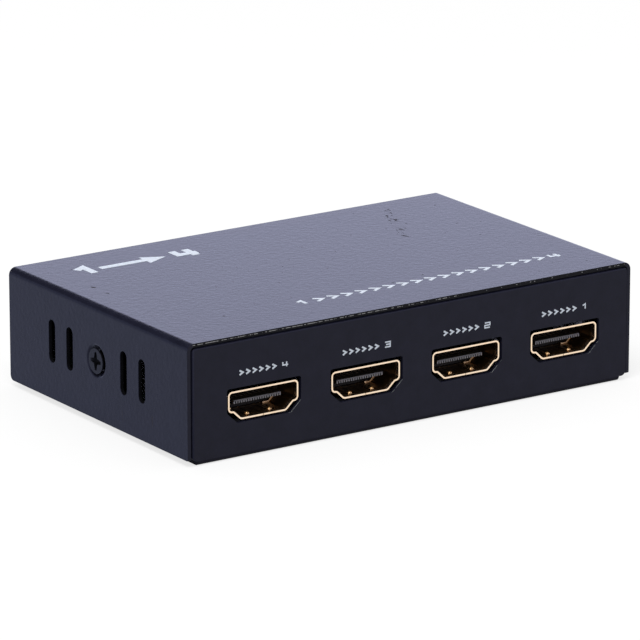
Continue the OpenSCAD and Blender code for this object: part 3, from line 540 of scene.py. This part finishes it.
MOULD_SKIN = 0.012 * MM
SOCKET_DEEP = colour(0.009, 0.008, 0.007)
SOCKET_THIN = colour(0.016, 0.014, 0.012)
SOCKET_ROUGHNESS = (0.4, 0.55)
SOCKET_SPECULAR = 0.25
SOCKET_LUMP = 0.5 * MM
SOCKET_GRAIN = 0.15 * MM
SOCKET_SKIN = 0.006 * MM
# Painted light: the tongue's nose lit grey, also standing for the contact ends
NOSE_LIT_DEEP = colour(0.15, 0.15, 0.18)
NOSE_LIT_PALE = colour(0.20, 0.20, 0.23)
NOSE_Y = (case_high.y - 2.38 * MM, case_high.y - 2.25 * MM)
TEETH_DEEP = colour(0.27, 0.27, 0.31)
TEETH_PALE = colour(0.34, 0.34, 0.38)
TEETH_TOP_Z = (9.57 * MM, 9.63 * MM)
MASK_OVER_TRACK = colour(0.008, 0.013, 0.012)
MASK_OVER_GAP = colour(0.02, 0.032, 0.028)
MASK_ROUGHNESS = (0.25, 0.4)
MASK_GRAIN = 0.4 * MM
TRACK_SCALE = 260
TRACK_STRETCH = (1, 2.6, 0)
TRACK_EDGE = (0.07, 0.1)
TRACK_DEPTH = 0.03 * MM
SAWN_EDGE = (0.2 * MM, 0.1 * MM)
LENS_DEEP = colour(0.55, 0.03, 0.025)
LENS_PALE = colour(0.75, 0.09, 0.07)
LENS_ROUGHNESS = (0.06, 0.14)
LENS_HAZE = 0.7 * MM
LENS_CLEAR = 0.45
LENS_IOR = 1.54
INK_DEEP = colour(0.71, 0.77, 0.86)
INK_PALE = colour(0.79, 0.86, 0.97)
INK_COVER = (0.3, 0.6)
INK_ROUGHNESS = (0.45, 0.6)
INK_GRAIN = 0.35 * MM
INK_SKIN = 0.006 * MM


def moulded(name, deep, thin, low, high, specular, size):
    """Moulded plastic or epoxy: a fine spark-eroded grain and a slight change of tone."""
    material, tree, shader = new_material(name)
    place = object_place(tree)
    lumps = noise(tree, place, 8 * size, detail=3)
    grain = noise(tree, place, size, detail=2)
    plug(tree, shader, {
        "Base Color": blended(tree, evened(tree, lumps), deep, thin),
        "Roughness": evened(tree, grain, low, high),
        "Specular IOR Level": specular,
        "Normal": bumped(tree, grain, MOULD_SKIN),
    })
    return material


def socket_moulding(name):
    """The sockets' black moulding: grey on the tongue's nose, painted light that also stands for the contact
    ends there, and paler still on its teeth.
    """
    material, tree, shader = new_material(name)
    place = object_place(tree)
    nose = fade_in(tree, depth_from_middle(tree, place), NOSE_Y)
    grain = noise(tree, place, SOCKET_GRAIN, detail=2)
    lumps = evened(tree, noise(tree, place, SOCKET_LUMP, detail=3))
    teeth = fade_out(tree, axis_value(tree, place, 2), TEETH_TOP_Z)
    body = blended(tree, lumps, SOCKET_DEEP, SOCKET_THIN)
    picked_out = blended(tree, lumps, NOSE_LIT_DEEP, NOSE_LIT_PALE)
    picked_out = blended(tree, teeth, picked_out, blended(tree, lumps, TEETH_DEEP, TEETH_PALE))
    plug(tree, shader, {
        # Painted light on the tongue's nose
        "Base Color": blended(tree, nose, body, picked_out),
        "Roughness": evened(tree, grain, *SOCKET_ROUGHNESS),
        "Specular IOR Level": SOCKET_SPECULAR,
        "Normal": bumped(tree, grain, SOCKET_SKIN),
    })
    return material


def solder_mask(name):
    """Black solder mask with copper tracks under it that show a little, and painted shade black on its sawn
    edges.
    """
    material, tree, shader = new_material(name)
    place = object_place(tree)
    inputs = {"Vector": stretched(tree, place, TRACK_STRETCH), "Scale": TRACK_SCALE}
    cells = add(tree, "ShaderNodeTexVoronoi", inputs, distance="MANHATTAN", feature="DISTANCE_TO_EDGE")
    copper = fade_in(tree, cells.outputs["Distance"], TRACK_EDGE)
    tone = blended(tree, copper, MASK_OVER_GAP, MASK_OVER_TRACK)
    low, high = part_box("circuit_board")
    rim = fade_in(tree, depth_from_middle(tree, place), [high.y - gap for gap in SAWN_EDGE])
    shine = evened(tree, noise(tree, place, MASK_GRAIN), *MASK_ROUGHNESS)
    plug(tree, shader, {
        # Painted shade on the sawn edges
        "Base Color": blended(tree, rim, tone, SHADE_BLACK),
        "Roughness": calc(tree, "MAXIMUM", shine, rim),
        "Normal": bumped(tree, copper, TRACK_DEPTH),
    })
    return material


def clear_lens(name):
    """Red diffused epoxy of the power light."""
    material, tree, shader = new_material(name)
    place = object_place(tree)
    haze = noise(tree, place, LENS_HAZE, detail=3)
    plug(tree, shader, {
        "Base Color": blended(tree, haze, LENS_DEEP, LENS_PALE),
        "Roughness": evened(tree, haze, *LENS_ROUGHNESS),
        "Transmission Weight": LENS_CLEAR,
        "IOR": LENS_IOR,
    })
    return material


def printed_ink(name):
    """White screen-print ink, slightly uneven where the peel below shows through."""
    material, tree, shader = new_material(name)
    place = object_place(tree)
    cover = noise(tree, place, INK_GRAIN, detail=3)
    plug(tree, shader, {
        "Base Color": blended(tree, fade_in(tree, cover, INK_COVER), INK_DEEP, INK_PALE),
        "Roughness": evened(tree, cover, *INK_ROUGHNESS),
        "Normal": bumped(tree, cover, INK_SKIN),
    })
    return material


looks = {
    "cover_paint": powder_coat("cover_paint", True),
    "tray_paint": powder_coat("tray_paint", False),
    "black_screw": screw_black("black_screw"),
    "gold_plate": gold_shell("gold_plate"),
    "contact_gold": plated("contact_gold", GOLD_DEEP, GOLD_PALE, 0.12, 0.2, 0.5 * MM, 0.001 * MM),
    "plated_steel": plated("plated_steel", TIN_DEEP, TIN_PALE, 0.25, 0.4, 1.2 * MM, 0.004 * MM),
    "tinned_metal": plated("tinned_metal", TIN_DEEP, TIN_PALE, 0.2, 0.36, 0.7 * MM, 0.003 * MM),
    "can_aluminium": plated("can_aluminium", grey(0.62), grey(0.78), 0.25, 0.38, 0.9 * MM, 0.003 * MM),
    "socket_plastic": socket_moulding("socket_plastic"),
    "jack_plastic": moulded("jack_plastic", grey(0.012), grey(0.02), 0.35, 0.5, 0.5, 0.2 * MM),
    "chip_epoxy": moulded("chip_epoxy", grey(0.02), grey(0.035), 0.5, 0.7, 0.4, 0.2 * MM),
    "ferrite": moulded("ferrite", grey(0.05), grey(0.09), 0.6, 0.8, 0.4, 0.25 * MM),
    "ceramic": moulded("ceramic", colour(0.3, 0.2, 0.11), colour(0.42, 0.3, 0.18), 0.4, 0.6, 0.4, 0.2 * MM),
    "board_laminate": solder_mask("board_laminate"),
    "light_lens": clear_lens("light_lens"),
}
ink = printed_ink("legend_ink")


# CAD nodes: materials, and edges broken by a fine bevel

WELD_REACH = 0.0005 * MM
FLAT_ANGLE = math.radians(0.4)
EDGE_ANGLE = math.radians(38)
SMOOTH_ANGLE = math.radians(32)
BEVEL_SEGMENTS = 3
EDGE_BREAKS = {
    "cover_paint": 0.15 * MM,
    "tray_paint": 0.12 * MM,
    "gold_plate": 0.05 * MM,
    "socket_plastic": 0.03 * MM,
    "jack_plastic": 0.12 * MM,
}


def smooth_by_angle():
    """A node group that shades smooth across shallow edges and keeps the others crisp."""
    group = bpy.data.node_groups.new("smooth_by_angle", "GeometryNodeTree")
    group.interface.new_socket("Geometry", in_out="INPUT", socket_type="NodeSocketGeometry")
    group.interface.new_socket("Geometry", in_out="OUTPUT", socket_type="NodeSocketGeometry")
    start = add(group, "NodeGroupInput")
    bare = add(group, "GeometryNodeRemoveAttribute", {"Geometry": start.outputs[0], "Name": "custom_normal"})
    angle = add(group, "GeometryNodeInputMeshEdgeAngle").outputs["Unsigned Angle"]
    sharp = add(group, "FunctionNodeCompare", {0: angle, 1: SMOOTH_ANGLE}, operation="GREATER_THAN")
    smooth = add(group, "GeometryNodeSetShadeSmooth", {0: bare.outputs[0], "Shade Smooth": True})
    edges = {0: smooth.outputs[0], "Selection": sharp.outputs[0], "Shade Smooth": False}
    crisp = add(group, "GeometryNodeSetShadeSmooth", edges, domain="EDGE")
    add(group, "NodeGroupOutput", {0: crisp.outputs[0]})
    return group


smoothing = smooth_by_angle()


def shade_smooth(piece):
    """Smooth curves beside flats that stay flat."""
    shade = piece.modifiers.new("shade", "NODES")
    shade.node_group = smoothing
    weighted = piece.modifiers.new("weighted", "WEIGHTED_NORMAL")
    weighted.keep_sharp = True
    weighted.weight = 100


def break_edges(node, width):
    """Takes the sharpness off a node's edges by a bevel of the given width."""
    weld = node.modifiers.new("weld", "WELD")
    weld.merge_threshold = WELD_REACH
    flat = node.modifiers.new("flat", "DECIMATE")
    flat.decimate_type = "DISSOLVE"
    flat.angle_limit = FLAT_ANGLE
    bevel = node.modifiers.new("bevel", "BEVEL")
    bevel.width = width
    bevel.segments = BEVEL_SEGMENTS
    bevel.limit_method = "ANGLE"
    bevel.angle_limit = EDGE_ANGLE
    shade_smooth(node)


for subpart in frame["record"]["subparts"]:
    node = nodes[subpart["node"]]
    slot = subpart["material_slot"]
    node.data.materials.clear()
    node.data.materials.append(looks[slot])
    if slot in EDGE_BREAKS:
        break_edges(node, EDGE_BREAKS[slot])


def new_piece(name, mesh, material):
    """Turns a built mesh into an object in the scene."""
    data = bpy.data.meshes.new(name)
    mesh.to_mesh(data)
    mesh.free()
    data.materials.append(material)
    piece = bpy.data.objects.new(name, data)
    scene.collection.objects.link(piece)
    return piece


# Printed legends: arrows and plain numbers in white ink

INK_LIFT = 0.015 * MM
INK_SINK = 0.02 * MM
INK_STEP = 0.004 * MM
MITRE_LEAST = 0.4
FRONT = Matrix(((1, 0, 0, 0), (0, 0, -1, case_low.y), (0, 1, 0, 0), (0, 0, 0, 1)))
TOP = Matrix.Translation((0, 0, case_high.z))
DIGITS = {
    "1": [[(0.1, 0.75), (0.6, 1), (0.6, 0)]],
    "2": [[(0, 1), (1, 1), (1, 0.5), (0, 0.5), (0, 0), (1, 0)]],
    "3": [[(0, 1), (1, 1), (1, 0), (0, 0)], [(0.2, 0.5), (1, 0.5)]],
    "4": [[(0, 1), (0, 0.38), (1, 0.38)], [(0.72, 1), (0.72, 0)]],
}


def stroke_outline(points, width):
    """Closed outline of a line of even width with mitred corners."""
    points = [Vector(p) for p in points]
    left, right = [], []
    for i, point in enumerate(points):
        before = (point - points[i - 1]).normalized() if i else None
        after = (points[i + 1] - point).normalized() if i + 1 < len(points) else None
        first, second = before or after, after or before
        first_side, second_side = Vector((-first.y, first.x)), Vector((-second.y, second.x))
        mitre = (first_side + second_side).normalized()
        reach = width / 2 / max(mitre.dot(first_side), MITRE_LEAST)
        left.append(point + mitre * reach)
        right.append(point - mitre * reach)
    return left + right[::-1]


def print_marks(name, outlines, face):
    """One piece of thin ink: each outline, in metres on its face, becomes a shallow prism.

    Every other prism is a little higher, so that no two faces lie in one plane where strokes cross.
    """
    mesh = bmesh.new()
    for i, outline in enumerate(outlines):
        lift = INK_LIFT + INK_STEP * (i % 2)
        low = [mesh.verts.new(face @ Vector((p[0], p[1], -INK_SINK))) for p in outline]
        high = [mesh.verts.new(face @ Vector((p[0], p[1], lift))) for p in outline]
        mesh.faces.new(high)
        mesh.faces.new(low[::-1])
        for k in range(len(outline)):
            j = (k + 1) % len(outline)
            mesh.faces.new((low[k], low[j], high[j], high[k]))
    bmesh.ops.recalc_face_normals(mesh, faces=mesh.faces)
    piece = new_piece(name, mesh, ink)
    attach(piece, "case")


def digit(sign, left, low, width, height, line):
    """Outlines of one number in a box whose lines lie inside it."""
    def place(p):
        return (left + line / 2 + p[0] * (width - line), low + line / 2 + p[1] * (height - line))
    return [stroke_outline([place(p) for p in path], line) for path in DIGITS[sign]]


def chevrons(count, left, low, pitch, width, height, line):
    """Outlines of a row of arrow heads that point right."""
    def head(start):
        return [(start, low + line / 2), (start + width, low + height / 2), (start, low + height - line / 2)]
    return [stroke_outline(head(left + i * pitch), line) for i in range(count)]


PORT_LEGEND_Z = 14.85 * MM
PORT_LEGEND_W = 10.2 * MM
PORT_LEGEND_H = 1.15 * MM
PORT_LINE = 0.32 * MM
PORT_HEADS = 6
PORT_HEAD_PITCH = 1.36 * MM
PORT_HEAD_W = 0.7 * MM
PORT_DIGIT_W = 1.35 * MM
PORT_DIGIT_LINE = 0.25 * MM
for number in "1234":
    low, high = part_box("output_" + number + "_shell")
    left = (low.x + high.x) / 2 - PORT_LEGEND_W / 2
    marks = chevrons(PORT_HEADS, left, PORT_LEGEND_Z, PORT_HEAD_PITCH, PORT_HEAD_W, PORT_LEGEND_H, PORT_LINE)
    digit_left = left + PORT_LEGEND_W - PORT_DIGIT_W
    marks += digit(number, digit_left, PORT_LEGEND_Z, PORT_DIGIT_W, PORT_LEGEND_H, PORT_DIGIT_LINE)
    print_marks("output_" + number + "_legend", marks, FRONT)

ROW_LEFT = -17.7 * MM
ROW_W = 57.7 * MM
ROW_LOW = -19.95 * MM
ROW_H = 2.5 * MM
ROW_LINE = 0.62 * MM
ROW_DIGIT_W = 2.6 * MM
ROW_GAP = 1.4 * MM
ROW_HEADS = 17
ROW_HEAD_W = 1.6 * MM
row_room = ROW_W - 2 * (ROW_DIGIT_W + ROW_GAP)
row_pitch = (row_room - ROW_HEAD_W) / (ROW_HEADS - 1)
row_start = ROW_LEFT + ROW_DIGIT_W + ROW_GAP
row = digit("1", ROW_LEFT, ROW_LOW, ROW_DIGIT_W, ROW_H, ROW_LINE)
row += chevrons(ROW_HEADS, row_start, ROW_LOW, row_pitch, ROW_HEAD_W, ROW_H, ROW_LINE)
row += digit("4", ROW_LEFT + ROW_W - ROW_DIGIT_W, ROW_LOW, ROW_DIGIT_W, ROW_H, ROW_LINE)
print_marks("top_row_legend", row, TOP)

SPLIT_LEFT = -39.6 * MM
SPLIT_LOW = 17.4 * MM
SPLIT_W = 26.6 * MM
SPLIT_H = 5.7 * MM
SPLIT_LINE = 1.5 * MM
SPLIT_DIGIT_W = 5.4 * MM
SPLIT_ROOM = 1.8 * MM
SPLIT_HEAD = 4.5 * MM


def split_marks():
    """A bold 1, an arrow to the right and a bold 4."""
    right = SPLIT_LEFT + SPLIT_W
    middle = SPLIT_LOW + SPLIT_H / 2
    barb_low, barb_high = SPLIT_LOW + SPLIT_LINE / 2, SPLIT_LOW + SPLIT_H - SPLIT_LINE / 2
    tail, tip = SPLIT_LEFT + SPLIT_DIGIT_W, right - SPLIT_DIGIT_W - SPLIT_ROOM
    neck = tip - SPLIT_HEAD
    outlines = digit("1", SPLIT_LEFT, SPLIT_LOW, SPLIT_DIGIT_W, SPLIT_H, SPLIT_LINE)
    outlines.append(stroke_outline([(tail, middle), (neck, middle)], SPLIT_LINE))
    outlines.append([(neck, barb_low), (tip, middle), (neck, barb_high)])
    return outlines + digit("4", right - SPLIT_DIGIT_W, SPLIT_LOW, SPLIT_DIGIT_W, SPLIT_H, SPLIT_LINE)


print_marks("top_split_legend", split_marks(), TOP)


# Cover screws: the CAD head, with a real thread in place of the plain shank

THREAD_PITCH = 0.5 * MM
THREAD_ROOT_R = 1.22 * MM
THREAD_CREST_R = 1.48 * MM
THREAD_STEEPNESS = 1.25
THREAD_STEPS = 10
THREAD_SIDES = 40
THREAD_OVERLAP = 0.1 * MM
HEAD_CUT = 1.5 * MM
RIM_FROM_R = 2.0 * MM
RIM_TRIM = 0.94
TIP_CHAMFER = 0.45 * MM


def thread_radius(depth, turn, length):
    """Radius of the thread at a depth below the head and a share of a turn, chamfered at its end."""
    phase = (depth / THREAD_PITCH - turn) % 1
    flank = (1 - abs(2 * phase - 1)) * THREAD_STEEPNESS - (THREAD_STEEPNESS - 1) / 2
    radius = THREAD_ROOT_R + (THREAD_CREST_R - THREAD_ROOT_R) * min(1, max(0, flank))
    return min(radius, THREAD_CREST_R - max(0, depth - length + TIP_CHAMFER))


def add_thread(mesh, start, side, height, length):
    """Adds a closed threaded shank that runs inward from x = start."""
    rows = []
    count = round(length / THREAD_PITCH * THREAD_STEPS)
    for i in range(count + 1):
        depth = length * i / count
        ring = []
        for k in range(THREAD_SIDES):
            angle = 2 * math.pi * k / THREAD_SIDES
            radius = thread_radius(depth, k / THREAD_SIDES, length)
            across, up = radius * math.cos(angle), radius * math.sin(angle)
            ring.append(mesh.verts.new((start - side * depth, across, height + up)))
        rows.append(ring)
    for above, below in zip(rows, rows[1:]):
        for k in range(THREAD_SIDES):
            j = (k + 1) % THREAD_SIDES
            mesh.faces.new((above[k], above[j], below[j], below[k]))
    mesh.faces.new(rows[0])
    mesh.faces.new(rows[-1][::-1])


def trim_rim(mesh, height):
    """Draws the head's outer rim in a little, so that a dark ring shows round it in the dimple."""
    for vert in mesh.verts:
        across, up = vert.co.y, vert.co.z - height
        if math.hypot(across, up) > RIM_FROM_R:
            vert.co.y, vert.co.z = across * RIM_TRIM, height + up * RIM_TRIM


def threaded_screw(side_name, side):
    """A cover screw with its head standing a little proud, in place of its CAD node."""
    node_name = side_name + "_cover_screw"
    low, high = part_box(node_name)
    outer, inner = (high.x, low.x) if side > 0 else (low.x, high.x)
    cut = outer - side * HEAD_CUT
    height = (low.z + high.z) / 2
    mesh = bmesh.new()
    mesh.from_mesh(nodes[node_name].data)
    bmesh.ops.remove_doubles(mesh, verts=mesh.verts, dist=WELD_REACH)
    everything = list(mesh.verts) + list(mesh.edges) + list(mesh.faces)
    plane = {"plane_co": (cut, 0, 0), "plane_no": (-side, 0, 0)}
    bmesh.ops.bisect_plane(mesh, geom=everything, clear_outer=True, **plane)
    bmesh.ops.holes_fill(mesh, edges=[e for e in mesh.edges if e.is_boundary])
    trim_rim(mesh, height)
    add_thread(mesh, cut + side * THREAD_OVERLAP, side, height, abs(cut - inner) + THREAD_OVERLAP)
    bmesh.ops.translate(mesh, verts=mesh.verts, vec=(side * SCREW_PROUD, 0, 0))
    bmesh.ops.recalc_face_normals(mesh, faces=mesh.faces)
    piece = new_piece(side_name + "_machine_screw", mesh, looks["black_screw"])
    shade_smooth(piece)
    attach(piece, side_name + "_screw")
    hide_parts(node_name)


threaded_screw("left", -1)
threaded_screw("right", 1)


# Studio: floor, light and camera

def studio_floor(name):
    """White sweep: its own glow fills it up to white, and the rest is lit, so shadows stay.

    Mirrors see it cooler and dimmer at the left, where it turns away from the lamp, and a painted contact
    shadow beside the box.
    """
    material, tree, shader = new_material(name)
    place = object_place(tree)
    tone = noise(tree, place, FLOOR_CLOUD, detail=2)
    path = add(tree, "ShaderNodeLightPath").outputs
    mirrored = path["Is Glossy Ray"]
    seen = calc(tree, "MAXIMUM", path["Is Camera Ray"], mirrored)
    seen = calc(tree, "MAXIMUM", seen, path["Is Transmission Ray"])
    shaded = ranged(tree, axis_value(tree, place, 0), COOL_FULL_X, COOL_FROM_X, 1, 0)
    past_side = calc(tree, "SUBTRACT", width_from_middle(tree, place), case_high.x)
    past_front = calc(tree, "SUBTRACT", depth_from_middle(tree, place), case_high.y)
    beside = calc(tree, "MAXIMUM", past_side, past_front)
    # Painted shadow: mirrors see the floor darker just beside the box
    contact = ranged(tree, beside, CONTACT_FROM, CONTACT_REACH, CONTACT_SHADOW_DARK, 0)
    plug(tree, shader, {
        "Base Color": blended(tree, tone, grey(FLOOR_ALBEDO * 0.98), grey(FLOOR_ALBEDO * 1.02)),
        "Roughness": 1.0,
        "Specular IOR Level": 0.0,
        "Emission Color": blended(tree, product(tree, mirrored, shaded), grey(FLOOR_GLOW), COOL_GLOW),
        "Emission Strength": calc(tree, "SUBTRACT", seen, product(tree, mirrored, contact)),
    })
    return material


def add_floor():
    mesh = bmesh.new()
    bmesh.ops.create_grid(mesh, x_segments=2, y_segments=2, size=FLOOR_SPREAD)
    floor = new_piece("studio_floor", mesh, studio_floor("studio_floor"))
    floor.location.z = case_low.z


def add_world():
    """Even fill for matt surfaces; a sweep, lower and cooler at the left, below a dim ceiling for mirrors."""
    world = bpy.data.worlds.new("studio")
    world.use_nodes = True
    tree = world.node_tree
    tree.nodes.clear()
    place = add(tree, "ShaderNodeTexCoord").outputs["Generated"]
    rise = axis_value(tree, place, 2)
    aim = Vector(FLAG_AIM).normalized()
    toward = vector_math(tree, "DOT_PRODUCT", {0: place, 1: aim})["Value"]
    edge, core = (math.cos(math.radians(a)) for a in (FLAG_OUTER_DEG, FLAG_INNER_DEG))

    def below_ceiling(low_deg, high_deg, tone):
        low, high = math.sin(math.radians(low_deg)), math.sin(math.radians(high_deg))
        return blended(tree, ranged(tree, rise, low, high), tone, (*CEILING_COLOUR, 1))

    bright = below_ceiling(SWEEP_TOP_DEG, CEILING_FROM_DEG, (*SWEEP_COLOUR, 1))
    flagged = below_ceiling(FLAG_LOW_DEG, FLAG_HIGH_DEG, COOL_GLOW)
    sky = blended(tree, ranged(tree, toward, edge, core), bright, flagged)
    mirror = add(tree, "ShaderNodeBackground", {"Color": sky, "Strength": 1.0}).outputs[0]
    fill = add(tree, "ShaderNodeBackground", {"Color": grey(1), "Strength": FILL_LEVEL}).outputs[0]
    white = add(tree, "ShaderNodeBackground", {"Color": grey(1), "Strength": 1.0}).outputs[0]
    path = add(tree, "ShaderNodeLightPath").outputs
    lit = add(tree, "ShaderNodeMixShader", {0: path["Is Glossy Ray"], 1: fill, 2: mirror}).outputs[0]
    seen = calc(tree, "MAXIMUM", path["Is Camera Ray"], path["Is Transmission Ray"])
    both = add(tree, "ShaderNodeMixShader", {0: seen, 1: lit, 2: white}).outputs[0]
    add(tree, "ShaderNodeOutputWorld", {"Surface": both})
    scene.world = world


def aimed(obj, place, aim):
    obj.location = place
    obj.rotation_euler = (Vector(aim) - Vector(place)).to_track_quat("-Z", "Y").to_euler()
    scene.collection.objects.link(obj)
    return obj


def add_lamp():
    data = bpy.data.lights.new("softbox", "AREA")
    data.shape = "DISK"
    data.size = LAMP_SIZE
    data.energy = LAMP_WATTS
    aimed(bpy.data.objects.new("softbox", data), LAMP_PLACE, (0, 0, 0))


def add_camera():
    data = bpy.data.cameras.new("camera")
    data.sensor_width = CAMERA_SENSOR_MM
    data.lens = CAMERA_LENS_MM
    scene.camera = aimed(bpy.data.objects.new("camera", data), CAMERA_PLACE, CAMERA_AIM)


add_floor()
add_world()
add_lamp()
add_camera()
scene.view_settings.view_transform = "Standard"
